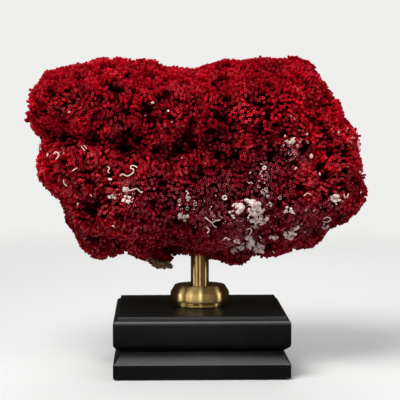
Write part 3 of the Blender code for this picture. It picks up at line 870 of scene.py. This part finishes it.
def pipes_mesh(name, pipes):
    """One mesh of hollow pipes, with what the material needs to know stored on its points."""
    count = len(pipes["tip"])
    aim, length, radius = pipes["aim"], pipes["length"], pipes["radius"]
    helper = np.where(np.abs(aim[:, 2:3]) < 0.8, (0.0, 0.0, 1.0), (1.0, 0.0, 0.0))
    across = unit(np.cross(aim, helper))
    other = np.cross(aim, across)
    angles = pipes["turn"][:, None] + np.arange(PIPE_SIDES) * math.tau / PIPE_SIDES
    spoke = np.cos(angles)[:, :, None] * across[:, None] + np.sin(angles)[:, :, None] * other[:, None]

    # Each ring's place along the pipe, its radius, and what the material is told: along and inside.
    rings = (
        (-length, 0.95 * radius, 0.0, 0.0),
        (np.zeros(count), radius, 1.0, 0.0),
        (np.full(count, -0.05), pipes["bore"] * radius, 1.0, 0.2),
        (np.full(count, -BORE_DEPTH), 0.85 * pipes["bore"] * radius, 0.8, 1.0),
    )
    places = [
        pipes["tip"][:, None] + aim[:, None] * at[:, None, None] + spoke * wide[:, None, None]
        for at, wide, _, _ in rings
    ]
    faces, layout = pipe_pattern()
    mesh = joined_copies(name, np.stack(places, 1).reshape(-1, 3) * MM, faces, count)
    add_bake_layout(mesh, layout, count)
    for key, column in (("along", 2), ("inside", 3)):
        store(mesh, key, np.tile(np.repeat([ring[column] for ring in rings], PIPE_SIDES), count))
    for key in ("shade", "age", "dust", "pale"):
        store(mesh, key, np.repeat(pipes[key], len(rings) * PIPE_SIDES))
    return mesh


def joined_copies(name, places, faces, count):
    """A mesh of count alike parts, given all their vertices and the faces of one."""
    step = len(places) // count
    corners = (np.concatenate(faces)[None] + (np.arange(count) * step)[:, None]).ravel()
    sizes = np.tile([len(face) for face in faces], count)
    mesh = bpy.data.meshes.new(name)
    mesh.vertices.add(len(places))
    mesh.vertices.foreach_set("co", places.astype(np.float32).ravel())
    mesh.loops.add(len(corners))
    mesh.loops.foreach_set("vertex_index", corners.astype(np.int32))
    mesh.polygons.add(len(sizes))
    mesh.polygons.foreach_set("loop_start", (np.cumsum(sizes) - sizes).astype(np.int32))
    mesh.update(calc_edges=True)
    mesh.validate()
    shade_smooth(mesh)
    return mesh


def add_bake_layout(mesh, layout, count):
    """Gives every part its own cell of the texture square, so that a bake keeps its rings apart."""
    cell = np.concatenate(layout) * 0.92 + 0.04
    columns = math.ceil(math.sqrt(count))
    number = np.arange(count)
    origin = np.stack([number % columns, number // columns], 1)
    uv = (origin[:, None] + cell[None]) / columns
    mesh.uv_layers.new(name="OFBake").uv.foreach_set("vector", uv.astype(np.float32).ravel())


def store(mesh, name, values):
    layer = mesh.attributes.new(name, "FLOAT", "POINT")
    layer.data.foreach_set("value", np.asarray(values, np.float32))


def inner_mass(mesh, pits, pit_radii):
    """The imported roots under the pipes: the envelope drawn in by the pipes' length, deeper at the pits."""
    places, normals = points_of(mesh)
    pit, away = nearest(places, pits)
    hollow = clipped(1 - away[:, 0] / (pit_radii[pit[:, 0]] + 2.5)) ** 0.5
    depth = MASS_DEPTH + PIT_DEPTH * hollow + (lumpy(places, 6) - 0.5) * 2.5
    drawn_in = mesh.copy()
    move_points(drawn_in, places - normals * depth[:, None])
    socket = socket_cutter()
    result = applied(
        drawn_in,
        ("REMESH", {"mode": "VOXEL", "voxel_size": MASS_VOXEL * MM, "use_smooth_shade": True}),
        ("SMOOTH", {"factor": 0.5, "iterations": 2}),
        ("BOOLEAN", {"operation": "DIFFERENCE", "solver": "EXACT", "object": socket}),
    )
    bpy.data.objects.remove(socket)
    return result


def socket_cutter():
    """A post of the socket's size, to cut the rod's hole in the inner mass."""
    bm = bmesh.new()
    radii = {"radius1": SOCKET_RADIUS * MM, "radius2": SOCKET_RADIUS * MM}
    bmesh.ops.create_cone(bm, cap_ends=True, segments=48, depth=(SOCKET_TOP - SOCKET_BOTTOM) * MM, **radii)
    bmesh.ops.translate(bm, vec=(0, 0, (SOCKET_TOP + SOCKET_BOTTOM) / 2 * MM), verts=bm.verts)
    cutter = placed("socket_cutter", mesh_of(bm, "socket_cutter"))
    cutter.hide_render = True
    return cutter


def clear_of_crusts(pipes, lumps):
    """The pipes without those whose mouths a crust covers."""
    lump, away = nearest(pipes["tip"], [place for place, _ in lumps])
    sizes = np.array([size for _, size in lumps])[lump[:, 0]]
    free = away[:, 0] > sizes * 0.8
    return {key: values[free] for key, values in pipes.items()}


def build_colony(rng):
    """The inner mass and the pipes, in pieces by region."""
    mesh = envelope_mesh()
    envelope = BVHTree.FromPolygons([v.co for v in mesh.vertices], [p.vertices for p in mesh.polygons])
    pipes, pits, pit_radii = stand_pipes(mesh, envelope, rng)
    colour_pipes(pipes)
    lumps = crust_lumps(envelope, pipes, rng)
    pipes = clear_of_crusts(pipes, lumps[0] + lumps[1])
    settle(envelope, pipes, lumps, rng)
    mass = show(inner_mass(mesh, pits, pit_radii), "packed_roots_painted_shade", mass_material())
    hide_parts("coral_colony")
    material = pipe_material()
    region, _ = nearest(pipes["tip"], list(PIPE_REGIONS.values()))
    for number, name in enumerate(PIPE_REGIONS):
        here = region[:, 0] == number
        show(pipes_mesh(name, {key: values[here] for key, values in pipes.items()}), name, material)


# ---- what has settled on the colony


def tangents(normal):
    """Two directions across a normal: roughly to the right and upwards for what faces the front."""
    up = np.array((0.0, 0.0, 1.0)) if abs(normal[2]) < 0.9 else np.array((0.0, 1.0, 0.0))
    right = np.cross(up, normal)
    right /= np.linalg.norm(right)
    return right, np.cross(normal, right)


def spoke_at(angle, right, up):
    """The direction at an angle between two directions."""
    return math.cos(angle) * right + math.sin(angle) * up


def in_ellipse(rng, wide, high):
    """A random place in an ellipse with these half axes."""
    angle, reach = rng.uniform(0, math.tau), math.sqrt(rng.random())
    return wide * reach * math.cos(angle), high * reach * math.sin(angle)


def crust_lumps(envelope, pipes, rng):
    """Centres and radii of the lumps of the white and of the grey crusts and of the hanging dirt."""
    groups = []
    for crusts in (FRONT_CRUSTS, FRONT_GREY_CRUSTS, HANGING_CRUSTS):
        lumps = []
        for x, z, wide, high, count, radius in crusts:
            middle = front_point(envelope, x, z)[0]
            for _ in range(count):
                right, up = in_ellipse(rng, wide, high)
                place, normal = front_point(envelope, x + right, z + up, middle)
                size = radius * rng.uniform(*LUMP_SHARES)
                lumps.append((place + normal * rng.uniform(*LUMP_LIFTS), size))
        groups.append(lumps)
    groups[2] = [(place - (0, 0, rng.uniform(0, HANGING_DROP)), size) for place, size in groups[2]]
    behind = np.flatnonzero(pipes["tip"][:, 1] > 0)
    for index in rng.choice(behind, LOOSE_CRUSTS, replace=False):
        across, along = tangents(pipes["aim"][index])
        wide, high = rng.uniform(*LOOSE_CRUST_HALF_SIZES, 2)
        for _ in range(int(6 + 2 * wide * high)):
            right, up = in_ellipse(rng, wide, high)
            place = pipes["tip"][index] + (across * right + along * up)
            place = envelope.find_nearest(Vector(place) * MM)[0]
            groups[0].append((np.array(place) / MM, rng.uniform(*LOOSE_LUMP_RADII)))
    return groups


def crust_mesh(lumps, rng):
    """Lumps run together into one crumbly crust."""
    bm = bmesh.new()
    for place, size in lumps:
        ball = bmesh.ops.create_icosphere(bm, subdivisions=2, radius=size * MM)["verts"]
        bmesh.ops.scale(bm, vec=Vector(rng.uniform(*LUMP_STRETCHES, 3)), verts=ball)
        bmesh.ops.rotate(bm, matrix=Euler(rng.uniform(0, math.tau, 3)).to_matrix(), verts=ball)
        bmesh.ops.translate(bm, vec=Vector(place) * MM, verts=ball)
    remesh = {"mode": "VOXEL", "voxel_size": CRUST_VOXEL * MM}
    mesh = applied(mesh_of(bm, "crust_lumps"), ("REMESH", remesh))
    places, normals = points_of(mesh)
    rough = (lumpy(places, 1.2) - 0.42) * 1.6 + lumpy(places + 50, 0.6) - 0.5
    move_points(mesh, places + normals * rough[:, None])
    return mesh


def smooth_route(points, steps=5):
    """A Catmull-Rom curve through the points."""
    points = [2 * points[0] - points[1], *points, 2 * points[-1] - points[-2]]
    route = []
    for before, start, end, after in zip(points, points[1:], points[2:], points[3:]):
        for t in np.arange(steps) / steps:
            square = 2 * before - 5 * start + 4 * end - after
            cube = 3 * start - before - 3 * end + after
            route.append(0.5 * (2 * start + (end - before) * t + square * t * t + cube * t ** 3))
    route.append(points[-2])
    return route


def add_tube(bm, route, radius, rng, sides=8):
    """A wobbly closed tube along a route, narrower at its ends."""
    rings = []
    side = None
    for number, point in enumerate(route):
        ahead = route[min(number + 1, len(route) - 1)] - route[max(number - 1, 0)]
        ahead = ahead / np.linalg.norm(ahead)
        if side is None:
            side = tangents(ahead)[0]
        side = side - ahead * (side @ ahead)
        side /= np.linalg.norm(side)
        other = np.cross(ahead, side)
        end = number in (0, len(route) - 1)
        wide = radius * (0.6 if end else rng.uniform(0.88, 1.12))
        ring = [point + wide * spoke_at(math.tau * corner / sides, side, other) for corner in range(sides)]
        rings.append([bm.verts.new(Vector(corner) * MM) for corner in ring])
    for low, high in zip(rings, rings[1:]):
        for i in range(sides):
            after = (i + 1) % sides
            bm.faces.new((low[i], low[after], high[after], high[i]))
    bm.faces.new(reversed(rings[0]))
    bm.faces.new(rings[-1])


def add_ring(bm, centre, normal, ring_radius, tube_radius, rng):
    """A coil that closes on itself, lying on the surface."""
    right, up = tangents(normal)
    turns = np.linspace(0, math.tau * 0.97, 18)
    wobble = rng.uniform(0.92, 1.08, len(turns))
    route = [
        centre + ring_radius * wide * spoke_at(turn, right, up) + normal * 0.04 * number
        for number, (turn, wide) in enumerate(zip(turns, wobble))
    ]
    add_tube(bm, route, tube_radius, rng, sides=7)


def worm_mesh(envelope, pipes, rng):
    """The worm tubes: the ones on the front along their routes, and short wandering ones elsewhere."""
    bm = bmesh.new()
    for radius, *route in FRONT_WORMS:
        lifted = []
        for x, z in route:
            place, normal = front_point(envelope, x, z, lifted[-1] if lifted else None)
            lifted.append(place + normal * (radius + rng.uniform(*FRONT_WORM_LIFTS)))
        add_tube(bm, smooth_route(lifted), radius * FRONT_WORMS_THINNER, rng)
    for x, z, ring_radius, tube_radius in FRONT_RINGS:
        place, normal = front_point(envelope, x, z)
        add_ring(bm, place + normal * 0.8, normal, ring_radius, tube_radius, rng)
    elsewhere = np.flatnonzero(pipes["tip"][:, 1] > 12)
    for index in rng.choice(elsewhere, LOOSE_WORMS, replace=False):
        right, up = tangents(pipes["aim"][index])
        point, heading = pipes["tip"][index], rng.uniform(0, math.tau)
        route = []
        for _ in range(rng.integers(3, 7)):
            place, normal, _, _ = envelope.find_nearest(Vector(point) * MM)
            route.append(np.array(place) / MM + np.array(normal) * 0.9)
            heading += rng.normal(0, LOOSE_WORM_TURN)
            point = route[-1] + LOOSE_WORM_STEP * spoke_at(heading, right, up)
        add_tube(bm, smooth_route(route), rng.uniform(*LOOSE_WORM_RADII), rng)
    mesh = mesh_of(bm, "worm_tubes")
    shade_smooth(mesh)
    return mesh


def chip_mesh(envelope, pipes, rng):
    """Broken bits of shell and lime, flat and angular, each lying on the rim of the pipe nearest to it."""
    bm = bmesh.new()
    spots = [(front_point(envelope, x, z)[0], size) for x, z, size in FRONT_CHIPS]
    for x, z, wide, high, count in FRONT_CRUMBS:
        middle = front_point(envelope, x, z)[0]
        for right, up in rng.normal(0, 0.5, (count, 2)) * (wide, high):
            spots.append((front_point(envelope, x + right, z + up, middle)[0], rng.uniform(*CRUMB_SIZES)))
    for index in rng.choice(len(pipes["tip"]), LOOSE_CHIPS, replace=False):
        spots.append((pipes["tip"][index], rng.uniform(*LOOSE_CHIP_SIZES)))
    mouths = tree_of(pipes["tip"])
    for spot, size in spots:
        mouth, index, _ = mouths.find(spot)
        aim = pipes["aim"][index]
        place = np.array(mouth) + PIPE_RADIUS * spoke_at(rng.uniform(0, math.tau), *tangents(aim))
        chip = bmesh.ops.create_icosphere(bm, subdivisions=1, radius=size * MM)["verts"]
        for vert in chip:
            vert.co *= rng.uniform(0.75, 1.2)
        bmesh.ops.scale(bm, vec=Vector((1.1, rng.uniform(0.5, 0.9), 0.4)), verts=chip)
        lie = Vector(aim).to_track_quat("Z", "Y").to_matrix()
        tilt = Euler((*rng.normal(0, CHIP_TILT, 2), rng.uniform(0, math.tau))).to_matrix()
        bmesh.ops.rotate(bm, matrix=lie @ tilt, verts=chip)
        bmesh.ops.translate(bm, vec=Vector(place + aim * size * 0.3) * MM, verts=chip)
    return mesh_of(bm, "shell_chips")


def settle(envelope, pipes, lumps, rng):
    """Crusts, worm tubes and chips."""
    limes = {name: lime_material(name) for name in LIMES}
    crusts = {"white_crusts": "white_lime", "grey_crusts": "grey_lime", "hanging_dirt": "brown_dirt"}
    for group, (name, lime) in zip(lumps, crusts.items()):
        show(crust_mesh(group, rng), name, limes[lime])
    show(worm_mesh(envelope, pipes, rng), "worm_tubes", limes["worm_lime"])
    show(chip_mesh(envelope, pipes, rng), "shell_chips", limes["white_lime"])


# ---- studio

BACKDROP = (0.86, 0.86, 0.85, 1)
LIGHTING = (0.80, 0.82, 0.85, 1)
LIGHTING_STRENGTH = 0.3
FLOOR_RADIUS = 3000
FLOOR_DROP = 0.05  # below the underside
FLOOR_FADE = (250, 1100)
FLOOR_COLOUR = (0.78, 0.78, 0.77, 1)

# White and dark cards round the object, as azimuths from and to, and brightness.
GLOSS_CARDS = (
    (-91, -75, 3.8), (-75, -54, 0.4), (-54, -48, 3.4), (-48, -41, 0.4), (-41, -35, 3.4), (-35, -4, 0.2),
    (-4, 5, 3.8), (5, 74, 0.17), (74, 86, 3.8), (86, 269, 0.03),
)
CARD_DISTANCE = 520
CARD_HEIGHTS = (0, 760)
# Two more lie level: a bright one overhead, for the shoulders and coves of the base, and a dark one just over
# the floor.
TOP_CARD_HEIGHT = 760
TOP_CARD_Y = (-700, 260)
TOP_CARD_HALF_WIDTH = 700
TOP_CARD_BRIGHTNESS = 12.5
FLOOR_CARD_HEIGHT = -0.03
FLOOR_CARD_BRIGHTNESS = 0.09
WARM_SHADE = (1.0, 0.8, 0.55, 1)  # of the dark cards


def area_lamp(name, place, target, width, height, power):
    """A soft box aimed at a point."""
    lamp = bpy.data.lights.new(name, "AREA")
    lamp.shape = "RECTANGLE"
    lamp.size = width * MM
    lamp.size_y = height * MM
    lamp.energy = power
    holder = placed(name, lamp)
    holder.location = Vector(place) * MM
    holder.rotation_euler = (Vector(target) - Vector(place)).to_track_quat("-Z", "Y").to_euler()
    return holder


def light_studio():
    """A large soft key from the upper left, with a weak fill and a back light that doesn't glint."""
    area_lamp("key", (-330, -560, 860), (0, 0, 120), 520, 420, 10)
    area_lamp("fill", (620, -520, 420), (0, 0, 120), 500, 500, 1.4)
    back = area_lamp("back", (150, 700, 700), (0, 0, 130), 600, 400, 4)
    back.visible_glossy = False


def studio_world():
    """Soft even light, and a pale backdrop for whatever looks straight at it or sees it in a reflection."""
    world = bpy.data.worlds.new("studio")
    bpy.context.scene.world = world
    world.use_nodes = True
    tree = world.node_tree
    tree.nodes.clear()
    light = add_node(tree, "ShaderNodeBackground", {"Color": LIGHTING, "Strength": LIGHTING_STRENGTH})
    backdrop = add_node(tree, "ShaderNodeBackground", {"Color": BACKDROP})
    rays = add_node(tree, "ShaderNodeLightPath").outputs
    seen = maths(tree, "ADD", rays["Is Camera Ray"], rays["Is Glossy Ray"], clamp=True)
    seen = maths(tree, "ADD", seen, rays["Is Transmission Ray"], clamp=True)
    mix = add_node(tree, "ShaderNodeMixShader", {0: seen, 1: light.outputs[0], 2: backdrop.outputs[0]})
    add_node(tree, "ShaderNodeOutputWorld", {0: mix.outputs[0]})


def studio_floor():
    """A pale floor that keeps the shadow and fades into the backdrop."""
    bm = bmesh.new()
    bmesh.ops.create_circle(bm, cap_ends=True, segments=96, radius=FLOOR_RADIUS * MM)
    floor = placed("floor", mesh_of(bm, "floor"))
    floor.location.z = -FLOOR_DROP * MM
    material, tree = new_material("pale_floor")
    set_shader(tree, {"Base Color": FLOOR_COLOUR, "Roughness": 0.9, "Specular IOR Level": 0.1})
    start, end = FLOOR_FADE
    gone = between(tree, distance_to(tree, (0, 0, 0)), start * MM, end * MM)
    pale = tree.nodes["Principled BSDF"].outputs[0]
    clear = add_node(tree, "ShaderNodeBsdfTransparent").outputs[0]
    mix = add_node(tree, "ShaderNodeMixShader", {0: gone, 1: pale, 2: clear})
    feed(tree, tree.nodes["Material Output"].inputs[0], mix.outputs[0])
    floor.data.materials.append(material)


def card_material(brightness):
    """A card that looks the same from every side: white, or dark and warm."""
    material, tree = new_material(f"card_{brightness}")
    inputs = {"Strength": brightness}
    if brightness < 1:
        inputs["Color"] = WARM_SHADE
    glow = add_node(tree, "ShaderNodeEmission", inputs)
    feed(tree, tree.nodes["Material Output"].inputs[0], glow.outputs[0])
    return material


def gloss_card(name, one_edge, other_edge, brightness):
    """A strip between two rows of points that only reflections see: it neither shows nor lights or shades."""
    bm = bmesh.new()
    pairs = [[bm.verts.new(Vector(point) * MM) for point in pair] for pair in zip(one_edge, other_edge)]
    for (low, high), (next_low, next_high) in zip(pairs, pairs[1:]):
        bm.faces.new((low, next_low, next_high, high))
    card = placed(name, mesh_of(bm, name))
    card.data.materials.append(card_material(brightness))
    card.visible_camera = False
    card.visible_diffuse = False
    card.visible_shadow = False


def round_place(azimuth, distance, height):
    """A place round the object: azimuth 0 is straight in front and grows to the right, in degrees."""
    angle = math.radians(azimuth)
    return distance * math.sin(angle), -distance * math.cos(angle), height


def gloss_cards():
    """Cards for the gloss of brass and lacquer to mirror."""
    for number, (start, end, brightness) in enumerate(GLOSS_CARDS):
        azimuths = np.linspace(start, end, 2 + int((end - start) / 6))
        edges = (
            [round_place(azimuth, CARD_DISTANCE, height) for azimuth in azimuths] for height in CARD_HEIGHTS
        )
        gloss_card(f"gloss_card_{number}", *edges, brightness)
    level_cards = (
        ("top", TOP_CARD_HALF_WIDTH, TOP_CARD_Y, TOP_CARD_HEIGHT, TOP_CARD_BRIGHTNESS),
        ("floor", CARD_DISTANCE, (-CARD_DISTANCE, CARD_DISTANCE), FLOOR_CARD_HEIGHT, FLOOR_CARD_BRIGHTNESS),
    )
    for name, half_width, depths, height, brightness in level_cards:
        edges = ([(-half_width, y, height), (half_width, y, height)] for y in depths)
        gloss_card(f"gloss_card_{name}", *edges, brightness)


def place_camera():
    camera = bpy.data.cameras.new("camera")
    camera.lens = FOCAL_LENGTH
    holder = placed("camera", camera)
    holder.location = Vector(CAMERA_PLACE) * MM
    holder.rotation_euler = Euler((math.radians(90 - CAMERA_DOWN), 0, math.radians(-CAMERA_RIGHT)))
    bpy.context.scene.camera = holder


# ---- the stand


def smooth_shading():
    """Geometry nodes that shade a faceted part smooth, apart from its real edges."""
    group = bpy.data.node_groups.new("smooth_shading", "GeometryNodeTree")
    for side in ("INPUT", "OUTPUT"):
        group.interface.new_socket("Geometry", in_out=side, socket_type="NodeSocketGeometry")
    angle = add_node(group, "GeometryNodeInputMeshEdgeAngle").outputs["Unsigned Angle"]
    limits = {0: angle, 1: math.radians(EDGE_ANGLE)}
    real_edge = add_node(group, "FunctionNodeCompare", limits, operation="GREATER_THAN").outputs[0]
    edges = {"Selection": real_edge, "Shade Smooth": False}
    path = (
        add_node(group, "NodeGroupInput"),
        add_node(group, "GeometryNodeRemoveAttribute", {"Name": "custom_normal"}),
        add_node(group, "GeometryNodeMergeByDistance", {"Distance": WELD_DISTANCE * MM}),
        add_node(group, "GeometryNodeSetShadeSmooth"),
        add_node(group, "GeometryNodeSetShadeSmooth", edges, domain="EDGE"),
        add_node(group, "NodeGroupOutput"),
    )
    for before, after in zip(path, path[1:]):
        feed(group, after.inputs[0], before.outputs[0])
    return group


def dress_stand():
    """Gives the stand's CAD pieces their finishes."""
    shading = smooth_shading()
    finishes = {
        brass_material(): ("support_rod", "collar", "foot_ring"),
        lacquer_material(): ("base_plinth", "base_block"),
        felt_material(): ("felt_sheet",),
        zinc_material(): ("fixing_screw", "fixing_washer"),
    }
    for material, names in finishes.items():
        for name in names:
            NODES[name].data.materials.clear()
            NODES[name].data.materials.append(material)
            NODES[name].modifiers.new("smooth_shading", "NODES").node_group = shading


def main():
    rng = np.random.default_rng(SEED)
    bpy.context.scene.view_settings.view_transform = "Standard"
    place_camera()
    studio_world()
    studio_floor()
    light_studio()
    gloss_cards()
    dress_stand()
    build_colony(rng)


main()
